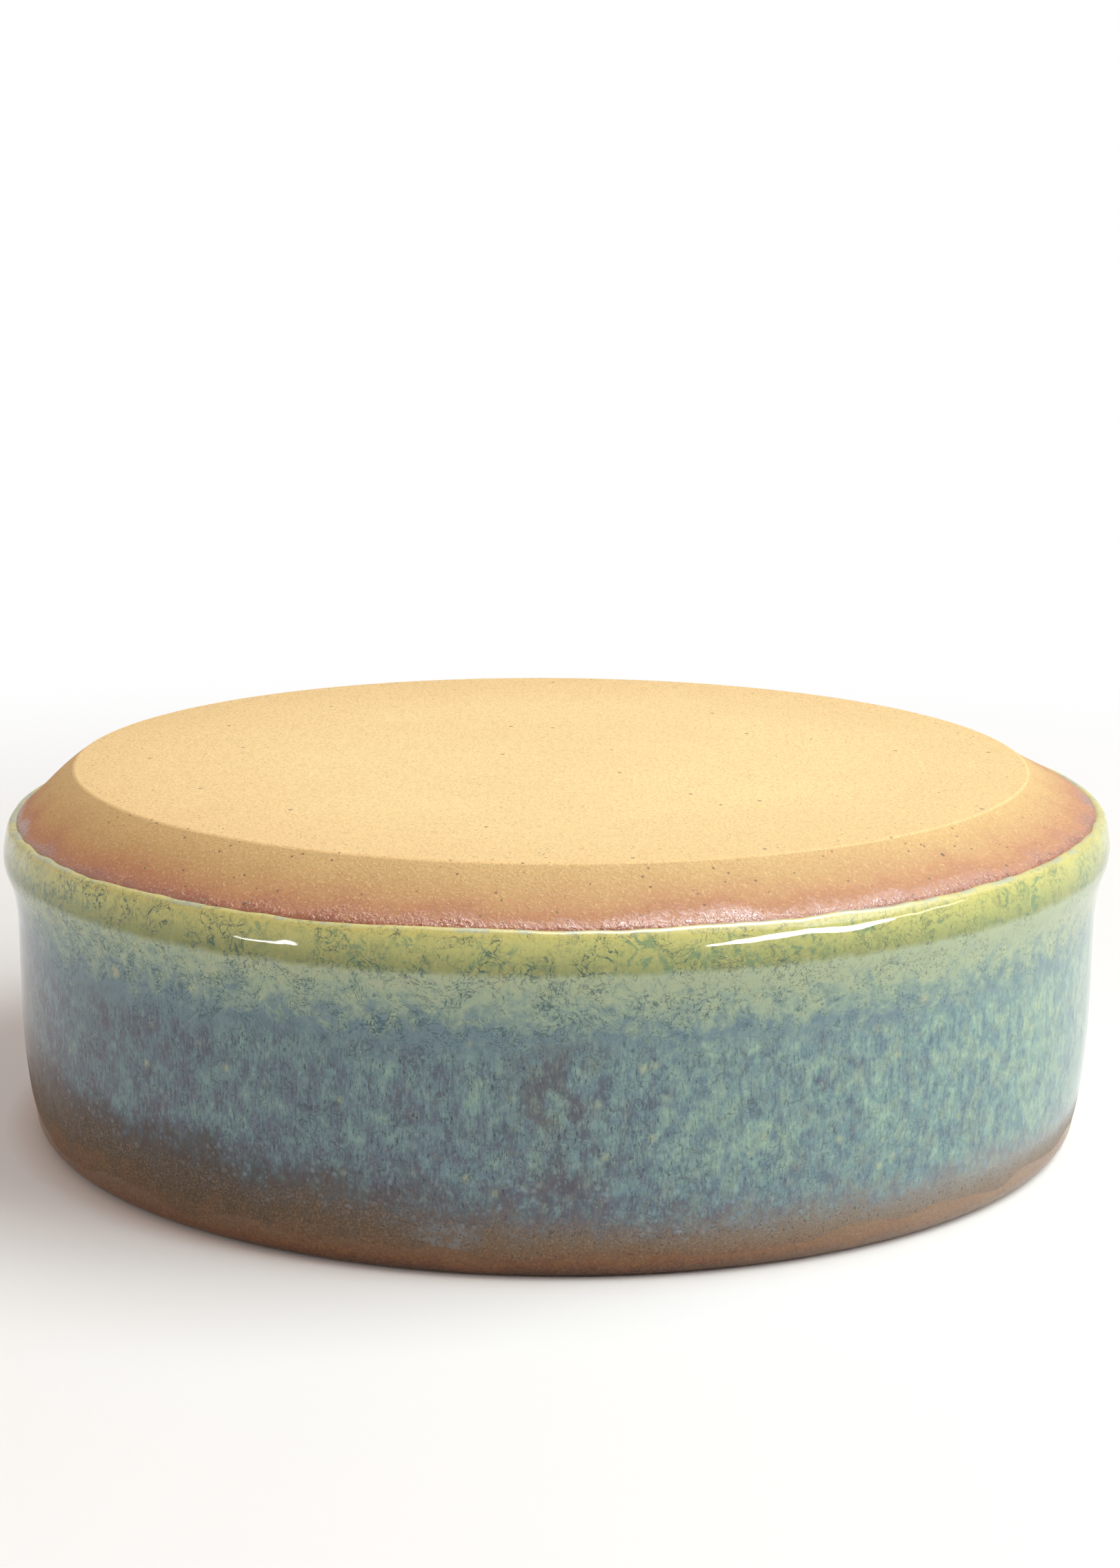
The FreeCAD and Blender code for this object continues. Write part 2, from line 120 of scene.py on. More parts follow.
def outside_wall(skin_at_shoulder, lip_point, lip_reach, count):
    """The leaning wall's lower part, from the lip's round up to where it runs straight."""
    centre = rolling_centre(skin_at_shoulder, WALL_LEAN, WALL_TURN, lip_point,
                            WALL_TURN - lip_reach, 1)
    start = heading(centre, lip_point)
    return start, arc(centre, WALL_TURN, start, -WALL_LEAN, count)


print("radius of the wall's turn in mm:", WALL_TURN)

# %% [markdown]
# The thrown clay: a flat foot with three shallow rings from the trimming tool, a trimmed bevel,
# a wall that turns in a little towards the lip, and a lip rounded with a wet sponge. The section
# runs from the axis on the foot, down the outside, round the lip and up to the inside floor.

# %% Section of the clay
FOOT_EDGE_ROUND = 0.8
INNER_CORNER = 14.0
TRIM_RINGS, RING_WIDTH, RING_DEPTH = (12.9, 26.8, 61.0), 3.4, 0.05


def ring_dips(count=8):
    """Foot flat from the axis out to the edge, with the trimming tool's shallow rings."""
    points = [Vector((0, HEIGHT))]
    for middle in TRIM_RINGS:
        for i in range(count + 1):
            across = i / count * 2 - 1
            dip = RING_DEPTH * (1 + math.cos(math.pi * across)) / 2
            points.append(Vector((middle + across * RING_WIDTH / 2, HEIGHT - dip)))
    return points


def clay_section():
    bevel_angle = math.atan2(BEVEL_RUN, BEVEL_FALL)
    trim = FOOT_EDGE_ROUND * math.tan((math.pi / 2 - bevel_angle) / 2)
    edge_centre = Vector((FOOT_RADIUS - trim, HEIGHT - FOOT_EDGE_ROUND))
    edge = arc(edge_centre, FOOT_EDGE_ROUND, math.pi / 2, bevel_angle, 5)
    shoulder = Vector((SHOULDER, SHOULDER_Z))
    bevel = run(edge[-1], shoulder, 12)[1:]
    lip_out = Vector((LIP_RADIUS, LIP_ROUND_OUT))
    lip_in = Vector((LIP_RADIUS, LIP_ROUND_IN))
    angle, turn = outside_wall(shoulder, lip_out, LIP_ROUND_OUT, 10)
    wall = run(shoulder, turn[-1], 12)[1:-1]
    lip = arc(lip_out, LIP_ROUND_OUT, angle, -math.pi / 2, 12)[1:]
    lip += arc(lip_in, LIP_ROUND_IN, -math.pi / 2, -math.pi - INNER_LEAN, 10)[1:]
    level = FLOOR - INNER_CORNER
    corner_x = lip[-1].x + (level - lip[-1].y) * math.tan(INNER_LEAN) \
        - INNER_CORNER / math.cos(INNER_LEAN)
    corner = arc(Vector((corner_x, level)), INNER_CORNER, -INNER_LEAN, math.pi / 2, 10)
    return ring_dips() + edge + bevel + wall + turn[::-1] + lip + corner + [Vector((0, FLOOR))]


clay_outline = clay_section()
print("points in the clay's section:", len(clay_outline))

# %% [markdown]
# One vertex is extruded along the section, and a Screw modifier without rise turns the string of
# edges once round the wheel's axis. Spin would do the same in Edit Mode, but is slow for so many
# steps. The ends on the axis land on themselves, so doubles are merged before the normals are
# made to face outwards.

# %% Turn a section on the wheel
MERGE = MM * 0.001


def turn_on_wheel(name, section, steps, closed):
    bpy.ops.object.select_all(action="DESELECT")
    bpy.ops.mesh.primitive_plane_add(size=MM)
    piece = bpy.context.object
    piece.name = piece.data.name = name
    bpy.ops.object.mode_set(mode="EDIT")
    bpy.ops.mesh.merge(type="CENTER")
    at = Vector((0, 0))
    for number, point in enumerate(section + section[:1] * closed):
        move = ((point.x - at.x) * MM, 0, (point.y - at.y) * MM)
        if number:
            bpy.ops.mesh.extrude_vertices_move(TRANSFORM_OT_translate={"value": move})
        else:
            bpy.ops.transform.translate(value=move)
        at = point
    bpy.ops.object.mode_set(mode="OBJECT")
    bpy.ops.object.transform_apply(location=True, rotation=True, scale=True)
    turn = piece.modifiers.new("turn", "SCREW")
    turn.axis, turn.angle, turn.screw_offset = "Z", 2 * math.pi, 0
    turn.steps = turn.render_steps = steps
    turn.use_merge_vertices, turn.merge_threshold = True, MERGE
    bpy.ops.object.modifier_apply(modifier="turn")
    bpy.ops.object.mode_set(mode="EDIT")
    bpy.ops.mesh.select_all(action="SELECT")
    bpy.ops.mesh.remove_doubles(threshold=MERGE)
    bpy.ops.mesh.normals_make_consistent(inside=False)
    bpy.ops.object.mode_set(mode="OBJECT")
    bpy.ops.object.shade_smooth()
    print(name, "faces:", len(piece.data.polygons))
    return piece


clay = turn_on_wheel("thrown_clay", clay_outline, 400, closed=False)

# %% [markdown]
# The outside glaze ran towards the foot in the kiln, because the bowl was fired upright, and
# gathered in a thick roll where wax on the bevel stopped it. The coat is a closed skin: outside
# it follows the wall, hollows at the neck and swells into the roll, and behind it lies a little
# way inside the clay, so no gap can show.

# %% Section of the outside coat
COAT, COAT_AT_LIP = 0.4, 0.2
ROLL_CROWN, ROLL_EDGE, NECK = 8.0, 1.1, 24.0
CROWN_Z = SHOULDER_Z - 4.8
ROOT = Vector((SHOULDER - 0.3, SHOULDER_Z))
SINK = 0.3


def coat_section():
    skin = Vector((SHOULDER + COAT, SHOULDER_Z))
    wiped = Vector((LIP_RADIUS + LIP_ROUND_OUT + COAT_AT_LIP, WIPED))
    crown = Vector((CROWN - ROLL_CROWN, CROWN_Z))
    neck = rolling_centre(skin, WALL_LEAN, -NECK, crown, ROLL_CROWN + NECK, -1)
    reach = ROLL_CROWN - ROLL_EDGE
    span = (ROOT - crown).length
    cosine = (reach ** 2 + span ** 2 - ROLL_EDGE ** 2) / (2 * reach * span)
    edge_angle = heading(crown, ROOT) - math.acos(cosine)
    edge_centre = crown + polar(edge_angle, reach)
    neck_angle = heading(crown, neck)
    turn = outside_wall(skin, wiped, 0, 12)[1]
    low_neck = neck + polar(math.pi - WALL_LEAN, NECK)
    outside = turn + run(turn[-1], low_neck, 8)[1:]
    outside += arc(neck, NECK, math.pi - WALL_LEAN, neck_angle + math.pi, 14)[1:]
    outside += arc(crown, ROLL_CROWN, neck_angle, edge_angle, 26)[1:]
    outside += arc(edge_centre, ROLL_EDGE, edge_angle, heading(edge_centre, ROOT), 10)[1:]
    shoulder = Vector((SHOULDER - SINK, SHOULDER_Z - SINK))
    clay_turn = outside_wall(Vector((SHOULDER - SINK, SHOULDER_Z)),
                             Vector((LIP_RADIUS, LIP_ROUND_OUT)), LIP_ROUND_OUT - SINK, 8)[1]
    behind = [ROOT + Vector((-1, -0.2)) * SINK] + run(shoulder, clay_turn[-1], 8)
    return outside + behind + clay_turn[-2::-1]


coat = turn_on_wheel("outside_glaze_coat", coat_section(), 480, closed=True)

# %% [markdown]
# The liner glaze was poured in and tipped out, so it covers the inside evenly and pools a little
# in the corner. Its skin gets many points, because finger rings are pressed into it further on.

# %% Section of the liner
LINER_FLOOR, LINER_CORNER, LINER_WALL = 0.8, 15.0, 0.45


def liner_section():
    guide = LIP_ROUND_IN + LINER_WALL
    slope = math.tan(INNER_LEAN)
    at_zero = LIP_RADIUS - guide / math.cos(INNER_LEAN) - LIP_ROUND_IN * slope
    level = FLOOR - LINER_FLOOR
    centre_z = level - LINER_CORNER
    centre = Vector((at_zero + centre_z * slope - LINER_CORNER / math.cos(INNER_LEAN), centre_z))
    corner = arc(centre, LINER_CORNER, -INNER_LEAN, math.pi / 2, 20)
    wiped = Vector((at_zero + WIPED * slope, WIPED))
    skin = run(wiped, corner[0], 60)[:-1] + corner + run(corner[-1], Vector((0, level)), 90)[1:]
    behind = run(Vector((0, FLOOR + SINK)), Vector((centre.x, FLOOR + SINK)), 4)
    hidden = arc(Vector((centre.x, centre_z)), LINER_CORNER + LINER_FLOOR + SINK, math.pi / 2,
                 -INNER_LEAN, 10)
    behind += [Vector((min(p.x, at_zero + LINER_WALL + SINK + p.y * slope), p.y)) for p in hidden[1:]]
    behind.append(Vector((wiped.x + LINER_WALL + SINK, WIPED)))
    return skin + behind


liner = turn_on_wheel("inside_glaze_liner", liner_section(), 480, closed=False)

# %% [markdown]
# Nothing thrown by hand is quite true. The foot was trimmed a millimetre off the centre, and the
# line where the glaze stops rises to one side. These moves act on finished vertices, the clay's and
# the outside coat's by the same rule, so the glaze stays seated on its clay.

# %% How the hand left the bowl
RUN_OUT = 0.98
LINE_TILT = 0.95


def ease(value, low, high):
    """0 below low, 1 above high, smooth between."""
    t = min(max((value - low) / (high - low), 0.0), 1.0)
    return t * t * (3 - 2 * t)


def wander(angle, size, seed):
    """A slow random wave round the bowl, between about -1 and 1."""
    return noise.noise(Vector((math.cos(angle) * size, math.sin(angle) * size, seed))) * 1.6


def settle(x, y, z):
    """Foot off centre towards -X, glaze line and roll higher on the +X side."""
    off = ease(z, SHOULDER_Z - 1, HEIGHT - 1) * ease(math.hypot(x, y), 20, 70)
    rise = ease(z, 32, 47) * (1 - ease(z, SHOULDER_Z, HEIGHT - 0.5))
    return x - RUN_OUT * off, y, z + LINE_TILT * rise * x / SHOULDER


print("tilt of the glaze line in mm:", LINE_TILT, "foot off centre by", RUN_OUT)

# %% [markdown]
# The glaze line has small scallops, the roll swells and shrinks as it gathered, and near the lip
# the sponge left the coat thinner, with a ragged end. The clay only follows the tilt.

# %% Let the line, the roll and the wiped end wander
SCALLOP = 0.16
ROLL_WOBBLE = 0.22
WIPED_THIN, WIPED_WANDER = 0.16, 0.5


def wander_coat(angle, radius, z):
    """Where a point of the coat moves to, as its new radius and height."""
    near_line = ease(z, CROWN_Z + 1.5, SHOULDER_Z)
    climb = SCALLOP * near_line * (wander(angle, 4.5, 3.1) + 0.6 * wander(angle, 22, 8.2))
    proud = ease(z, 36, 44) * (1 - near_line) * ease(radius, SHOULDER, SHOULDER + 1)
    radius -= climb * BEVEL_RUN / BEVEL_FALL * (radius > SHOULDER - 1)
    radius -= proud * ROLL_WOBBLE * (1 + wander(angle, 2.5, 5.7))
    outside = radius > LIP_RADIUS + LIP_ROUND_OUT
    radius -= WIPED_THIN * (1 - ease(z, WIPED, WIPED + 2.5)) * outside
    wiped_end = (1 - ease(z, WIPED, WIPED + 6)) * WIPED_WANDER * (wander(angle, 9, 1.4) + 0.2)
    return radius, z + (climb + wiped_end)


for piece in (clay, coat):
    for vertex in piece.data.vertices:
        x, y, z = vertex.co / MM
        if piece is coat:
            angle = math.atan2(y, x)
            radius, z = wander_coat(angle, math.hypot(x, y), z)
            x, y = radius * math.cos(angle), radius * math.sin(angle)
        vertex.co = Vector(settle(x, y, z)) * MM
    piece.data.update()
print("widest now in mm:", round(max(v.co.xy.length for v in coat.data.vertices) / MM, 2))

# %% [markdown]
# Under the liner the thrower's fingers left shallow rings that rise in a spiral. They are pressed
# into the liner's seen skin alone, sideways on the wall and downwards on the floor.

# %% Press the finger rings into the liner
FINGER_RING_GAP, FINGER_RING_DEPTH = 6.5, 0.13
NEAR_LIP = 6

for vertex in liner.data.vertices:
    x, y, z = vertex.co / MM
    angle, radius = math.atan2(y, x), math.hypot(x, y)
    skin = (1 - ease(z, FLOOR - 0.4, FLOOR)) * (1 - ease(radius, 79.5, 80.5) * ease(z, NEAR_LIP, 8))
    if skin and z > NEAR_LIP:
        ring = math.cos((radius + FLOOR - z) * 2 * math.pi / FINGER_RING_GAP - angle)
        press = FINGER_RING_DEPTH * (ring + 1) * 0.5 * ease(radius, 3, 9)
        inward = ease(radius, 66, 78)
        radius -= press * inward
        vertex.co = Vector((radius * math.cos(angle), radius * math.sin(angle),
                            z - press * (1 - inward))) * MM
liner.data.update()
print("finger rings in mm: gap", FINGER_RING_GAP, "depth", FINGER_RING_DEPTH)

# %% [markdown]
# Materials are built from nodes. Colours are written as they look on a screen, in hex, and one
# function turns them to the linear values that light is added up in. One more function adds a
# node, sets what its name needs and links what is fed to it.


# %% Colours and nodes
def shade(hex_colour):
    """A screen colour such as c8a070 as linear red, green, blue and alpha."""
    parts = [int(hex_colour[i:i + 2], 16) / 255 for i in (0, 2, 4)]
    linear = [p / 12.92 if p <= 0.04045 else ((p + 0.055) / 1.055) ** 2.4 for p in parts]
    return (*linear, 1.0)


def add(tree, kind, feeds=(), output=0, **settings):
    """Adds one node and gives back one of its outputs. Each feed names a socket and gives it a
    value or an output to follow."""
    made = tree.nodes.new(kind)
    for name, value in settings.items():
        setattr(made, name, value)
    for socket, feed in dict(feeds).items():
        if isinstance(feed, bpy.types.NodeSocket):
            tree.links.new(feed, made.inputs[socket])
        else:
            made.inputs[socket].default_value = feed
    return made.outputs[output] if made.outputs else made


print("c8a070 in linear light:", [round(value, 3) for value in shade("c8a070")[:3]])

# %% [markdown]
# Every pattern on the bowl is placed in the bowl's own space, in millimetres, so a spot of glaze
# is as large as it is on the real bowl, and a pattern has no seam where it meets itself. Each
# material therefore starts with its place in millimetres and that place's x, y and z.


# %% Start a material in millimetres
def start_material(name):
    """A new material, its nodes, the place in millimetres, and that place's x, y and z."""
    material = bpy.data.materials.new(name)
    material.use_nodes = True
    tree = material.node_tree
    tree.nodes.clear()
    metres = tree.nodes.new("ShaderNodeTexCoord").outputs["Object"]
    place = add(tree, "ShaderNodeVectorMath", {0: metres, "Scale": 1 / MM}, operation="SCALE")
    parts = tree.nodes.new("ShaderNodeSeparateXYZ")
    tree.links.new(place, parts.inputs[0])
    return material, tree, place, parts.outputs


print("units of a pattern in one metre:", round(1 / MM))

# %% [markdown]
# Three kinds of pattern draw all that the clay and the glazes show: soft patches from a cloudy
# noise, round dots in random cells, and thin threads along the line where a noise crosses its
# middle value. A seed moves a pattern to another place of its noise, so no two look alike.


# %% Patches, dots and threads
def patches(tree, place, size, low, high, seed=0, tall=1.0, detail=3, rough=0.55, twist=0.0):
    """Soft random patches of about that size: 0 where the noise is under low, 1 over high.
    tall stretches them up and down the wall, and twist curls their edges."""
    spot = add(tree, "ShaderNodeMapping", {
        "Vector": place, "Location": (seed * 37.1, seed * 11.7, seed * 5.3),
        "Scale": (1 / size, 1 / size, 1 / size / tall)})
    cloud = add(tree, "ShaderNodeTexNoise", {"Vector": spot, "Scale": 1, "Detail": detail,
                                             "Roughness": rough, "Distortion": twist})
    return add(tree, "ShaderNodeMapRange", {"Value": cloud, "From Min": low, "From Max": high},
               interpolation_type="SMOOTHSTEP")


def dots(tree, place, gap, radius, share, seed=0, soft=0.35):
    """Round spots of that radius in cells of that size, in only a share of the cells."""
    spot = add(tree, "ShaderNodeMapping", {
        "Vector": place, "Location": (seed * 17.3, seed * 29.9, seed * 7.7)})
    cells = tree.nodes.new("ShaderNodeTexVoronoi")
    cells.inputs["Scale"].default_value = 1 / gap
    tree.links.new(spot, cells.inputs["Vector"])
    dot = add(tree, "ShaderNodeMapRange", {"Value": cells.outputs["Distance"],
                                           "From Min": radius / gap,
                                           "From Max": radius * (1 - soft) / gap})
    chosen = add(tree, "ShaderNodeMath", {0: cells.outputs["Color"], 1: share}, operation="LESS_THAN")
    return add(tree, "ShaderNodeMath", {0: dot, 1: chosen}, operation="MULTIPLY")


def threads(tree, place, size, width, seed=0, twist=1.2, detail=4):
    """Thin curling lines: where a noise crosses its middle value."""
    spot = add(tree, "ShaderNodeMapping", {
        "Vector": place, "Location": (seed * 23.9, seed * 3.1, seed * 41.3),
        "Scale": (1 / size, 1 / size, 1 / size)})
    cloud = add(tree, "ShaderNodeTexNoise", {"Vector": spot, "Scale": 1, "Detail": detail,
                                             "Roughness": 0.62, "Distortion": twist})
    off = add(tree, "ShaderNodeMath", {0: cloud, 1: 0.5}, operation="SUBTRACT")
    away = add(tree, "ShaderNodeMath", {0: off}, operation="ABSOLUTE")
    return add(tree, "ShaderNodeMapRange", {"Value": away, "From Min": width, "From Max": width * 0.2})


print("kinds of pattern:", [kind.__name__ for kind in (patches, dots, threads)])

# %% [markdown]
# Patterns are put together in two ways. Added up, each with its weight, they blur and bend a
# border. Multiplied as masks, they keep a mark to where all of them are strong.


# %% Add up and multiply patterns
def weigh(tree, *parts):
    """Adds values up, each with its own weight."""
    total = 0.0
    for value, weight in parts:
        total = add(tree, "ShaderNodeMath", {0: value, 1: weight, 2: total}, operation="MULTIPLY_ADD")
    return total


def product(tree, *masks):
    """All masks together: strong only where every one of them is."""
    whole = masks[0]
    for mask in masks[1:]:
        whole = add(tree, "ShaderNodeMath", {0: whole, 1: mask}, operation="MULTIPLY")
    return whole


print("ways to put patterns together:", weigh.__name__, "and", product.__name__)

# %% [markdown]
# On a thrown and dipped pot nearly everything changes with the height, so a Color Ramp follows a
# value in millimetres, as a colour or as a mask. Two more masks tell the left from the right, where
# the colours differ; near the lip and on the roll the left one also carries painted shade, on the
# side away from the key lamp.


# %% Follow the height and the sides
def follow(tree, value, stops):
    """A strength or a colour that follows a value such as the height. Each stop pairs a value
    with a strength or a hex colour, and they blend from stop to stop."""
    low, high = stops[0][0], stops[-1][0]
    if (low, high) != (0, 1):
        value = add(tree, "ShaderNodeMapRange", {"Value": value, "From Min": low, "From Max": high})
    looks = [shade(look) if isinstance(look, str) else (look, look, look, 1) for _, look in stops]
    ramp = tree.nodes.new("ShaderNodeValToRGB")
    tree.links.new(value, ramp.inputs[0])
    elements = ramp.color_ramp.elements
    elements[0].position, elements[0].color = 0, looks[0]
    elements[1].position, elements[1].color = 1, looks[-1]
    for (at, _), look in zip(stops[1:-1], looks[1:-1]):
        elements.new((at - low) / (high - low)).color = look
    return ramp.outputs[0]


def sides(tree, x):
    """Masks that grow towards the left and towards the right, as seen from the front."""
    return (add(tree, "ShaderNodeMapRange", {"Value": x, "From Min": 5, "From Max": -50}),
            add(tree, "ShaderNodeMapRange", {"Value": x, "From Min": 15, "From Max": 70}))


print("height that masks can follow, in mm: 0 to", round(HEIGHT, 1))

# %% [markdown]
# A finish is then painted in layers, as a painter would: a ground first, then one colour after
# another through its masks, each covering only in part.


# %% Lay colours over a ground
def lay_over(tree, ground, layers):
    """Lays colours over a ground one after another. A layer is its masks, its hex colour or the
    output of another pattern, and how strongly it covers."""
    for masks, colour, strength in layers:
        through = add(tree, "ShaderNodeMath", {0: product(tree, *masks), 1: strength},
                      operation="MULTIPLY")
        over = shade(colour) if isinstance(colour, str) else colour
        ground = add(tree, "ShaderNodeMix", {0: through, 6: ground, 7: over}, output=2,
                     data_type="RGBA")
    return ground


print("a layer is its masks, its colour and its strength, as", lay_over.__name__, "takes them")

# %% [markdown]
# Clay and glaze are both dielectrics of nearly the refraction of glass, so one shader serves for
# both, and roughness alone tells matt clay from wet-looking glaze. The reliefs are chained bumps
# far finer than the mesh, with their depth in millimetres.

# %% Fire a finish
REFRACTION = 1.5


def fire(material, tree, colour, roughness, reliefs):
    """Joins colour, roughness and bump in one shader. reliefs are pairs of pattern and depth."""
    normal = None
    for pattern, depth in reliefs:
        feeds = {"Height": pattern, "Distance": depth * MM}
        if normal:
            feeds["Normal"] = normal
        normal = add(tree, "ShaderNodeBump", feeds)
    shader = add(tree, "ShaderNodeBsdfPrincipled", {
        "Base Color": colour, "Roughness": roughness, "IOR": REFRACTION, "Normal": normal})
    add(tree, "ShaderNodeOutputMaterial", {"Surface": shader})
    print(material.name, "nodes:", len(tree.nodes))
    return material


# %% [markdown]
# Bare stoneware, sponged and fired to about 1250 degrees, is a sandy buff clay. Near the glaze
# its vapour flashed the clay orange, so the bevel runs from buff at the foot to red-brown at the
# glaze line, and the wiped lip is dark red-brown. Its lowest stops darken further, to near black
# at the very bottom: that is painted shade, where the lip meets the floor. These broad tones
# follow the height, and a slow and a fine noise blur where one gives way to the next. The level
# foot is palest.

# %% Broad tones of the bare stoneware
# The lowest lip stops, darkest at 0 mm, are partly the wiped lip's dark red-brown and partly painted shade
# where the lip meets the floor.
LIP_TONES_AND_CONTACT_SHADE = [(0, "3a1d0b"), (1.2, "542f16"), (2.4, "6e4324"), (4, "6f5136"), (6.5, "6b5b48")]
FLASH_STOPS = [(16, "8f5836"), (40, "a5623f"), (51.4, "914f35"), (52.2, "a05d41"),
               (53.3, "b1744b"), (54.6, "c08d58"), (56.2, "c79e60"), (58.5, "d2ad6b")]


def stoneware_tones(tree, place, x, z, reach):
    """The height that the flashing follows, and the clay's colour there."""
    blush = patches(tree, place, 9, 0.3, 0.7, seed=1)
    mist = patches(tree, place, 0.8, 0.3, 0.7, seed=2)
    height = weigh(tree, (z, 1.0), (x, -LINE_TILT / SHOULDER), (blush, 1.2), (mist, 0.7), (1.0, -0.95))
    on_foot = add(tree, "ShaderNodeMapRange", {"Value": z, "From Min": HEIGHT - 0.3,
                                               "From Max": HEIGHT - 0.05})
    # Painted shade: the foot is made darker towards its edge, standing in for the shade that falls on its
    # front.
    foot_edge_shade = add(tree, "ShaderNodeMapRange", {"Value": reach, "From Min": 45,
                                                 "From Max": FOOT_RADIUS})
    cloud = patches(tree, place, 24, 0.35, 0.7, seed=5, detail=2)
    ground = lay_over(tree, follow(tree, height, LIP_TONES_AND_CONTACT_SHADE + FLASH_STOPS), [
        ([on_foot], "f9d791", 1.0),
        ([on_foot, cloud], "f0ca86", 0.3),
        ([on_foot, foot_edge_shade], "e2b974", 0.5)])
    return height, ground


print("the foot turns buff at", FLASH_STOPS[-1][0], "mm, the lip is darkest at", LIP_TONES_AND_CONTACT_SHADE[0][0])

# %% [markdown]
# Sand and iron in the clay show as grains of 0.4 to 0.7 mm, which is a little coarser than the
# real grit, so that they show, as dark specks of 0.5 to 0.8 mm and as a few white ones. At the
# glaze line a mist of glaze melted into small beads that glint, where the clay is otherwise
# matt. The faint circles on the foot come from grit under the trimming tool.


# %% Bare stoneware
def bare_stoneware():
    material, tree, place, (x, _, z) = start_material("bare_flashed_stoneware")
    flat = add(tree, "ShaderNodeVectorMath", {0: place, 1: (1, 1, 0)}, operation="MULTIPLY")
    reach = add(tree, "ShaderNodeVectorMath", {0: flat}, output="Value", operation="LENGTH")
    height, ground = stoneware_tones(tree, place, x, z, reach)
    above = add(tree, "ShaderNodeMapRange", {"Value": z, "From Min": 30, "From Max": 40})
    lip_zone = follow(tree, z, [(0, 1), (5, 1), (9, 0)])
    to_left, to_right = sides(tree, x)
    less_on_foot = add(tree, "ShaderNodeMapRange", {
        "Value": weigh(tree, (z, 1.0), (reach, -0.04)), "From Min": HEIGHT - 3.1,
        "From Max": HEIGHT - 2.5, "To Min": 1.0, "To Max": 0.25})
    grain = patches(tree, place, 0.42, 0.42, 0.66, seed=3, detail=3, rough=0.7)
    sand = patches(tree, place, 0.7, 0.60, 0.70, seed=38, detail=3, rough=0.6)
    pale = patches(tree, place, 0.5, 0.50, 0.72, seed=4, detail=2)
    colour = lay_over(tree, ground, [
        # Painted shade: the lip is darkened on the left, the side away from the key lamp, where the shadow
        # lies.
        ([lip_zone, to_left], "4a2a12", 0.3),
        ([grain], "a4783f", 0.30),
        ([sand, above], "c9782f", 0.4),
        ([pale, above], "f6d79c", 0.25),
        ([lip_zone, to_right], "a58d76", 0.55),
        ([dots(tree, place, 1.5, 0.25, 0.40, seed=6), less_on_foot], "54402c", 0.8),
        ([dots(tree, place, 5.0, 0.42, 0.42, seed=7)], "4a3a32", 0.85),
        ([dots(tree, place, 5.0, 0.2, 0.15, seed=8)], "f4ead2", 0.8)])
    rings = add(tree, "ShaderNodeTexNoise", {"W": reach, "Scale": 0.7, "Detail": 2},
                noise_dimensions="1D")
    roughness = add(tree, "ShaderNodeMapRange", {"Value": height, "From Min": 53.5, "From Max": 52.0,
                                                 "To Min": 0.85, "To Max": 0.22})
    beads = product(tree, follow(tree, height, [(50, 1), (52.3, 1), (53.6, 0)]),
                    patches(tree, place, 0.9, 0.35, 0.65, seed=9, detail=3))
    return fire(material, tree, colour, roughness,
                [(rings, 0.03), (grain, -0.03), (pale, 0.05), (beads, 0.075)])


clay.data.materials.append(bare_stoneware())

# %% [markdown]
# The outside glaze is a thick reactive stoneware glaze, poured or dipped. Where it is thick it
# breaks to olive and celadon, where it ran thin it is slate blue over violet, and where it was
# wiped near the lip the iron in the clay burns through brown. The colour therefore follows the
# height. Its borders aren't level: runs of glaze pull them up and down, most of all on the wall,
# and the lowest one sinks towards the right.

# %% Heights in the outside glaze
RUN_PULL = 3.6
LOW_BORDER_SLOPE = 0.07


def glaze_heights(tree, place, x, z):
    """The level above the lip, and that level as the runs of the glaze bend it."""
    level = weigh(tree, (z, 1.0), (x, -LINE_TILT / SHOULDER))
    slow = patches(tree, place, 11, 0.2, 0.8, seed=11, tall=0.8)
    runs = patches(tree, place, 2.2, 0.2, 0.8, seed=12, tall=1.8, detail=6, rough=0.7)
    ragged = weigh(tree, (slow, 1.4), (runs, 1.6), (1.0, -1.5))
    reach = follow(tree, level, [(0, 0.06), (4, 0.3), (10, 0.75), (20, 0.8), (33, 0.5), (39, 0.45),
                                 (45, 0.05), (52, 0.03)])
    across = weigh(tree, (x, 1.0), (1.0, 18.0))
    low_border = follow(tree, level, [(0, 0), (4, 0.1), (8, 0.8), (12, 1.0), (16, 1.0), (26, 0)])
    height = weigh(tree, (level, 1.0), (product(tree, ragged, reach), RUN_PULL),
                   (product(tree, low_border, across), LOW_BORDER_SLOPE))
    return level, height


print("pull of the runs in mm:", RUN_PULL, "fall of the lowest border per mm:", LOW_BORDER_SLOPE)

# %% [markdown]
# Four grounds lie over each other from the lip up: brown where the coat was wiped, then slate on
# the wall, celadon below the roll and olive on the roll. Slate and celadon are mottled, so their
# colour follows a noise, and brown gives way to slate in fine grains.


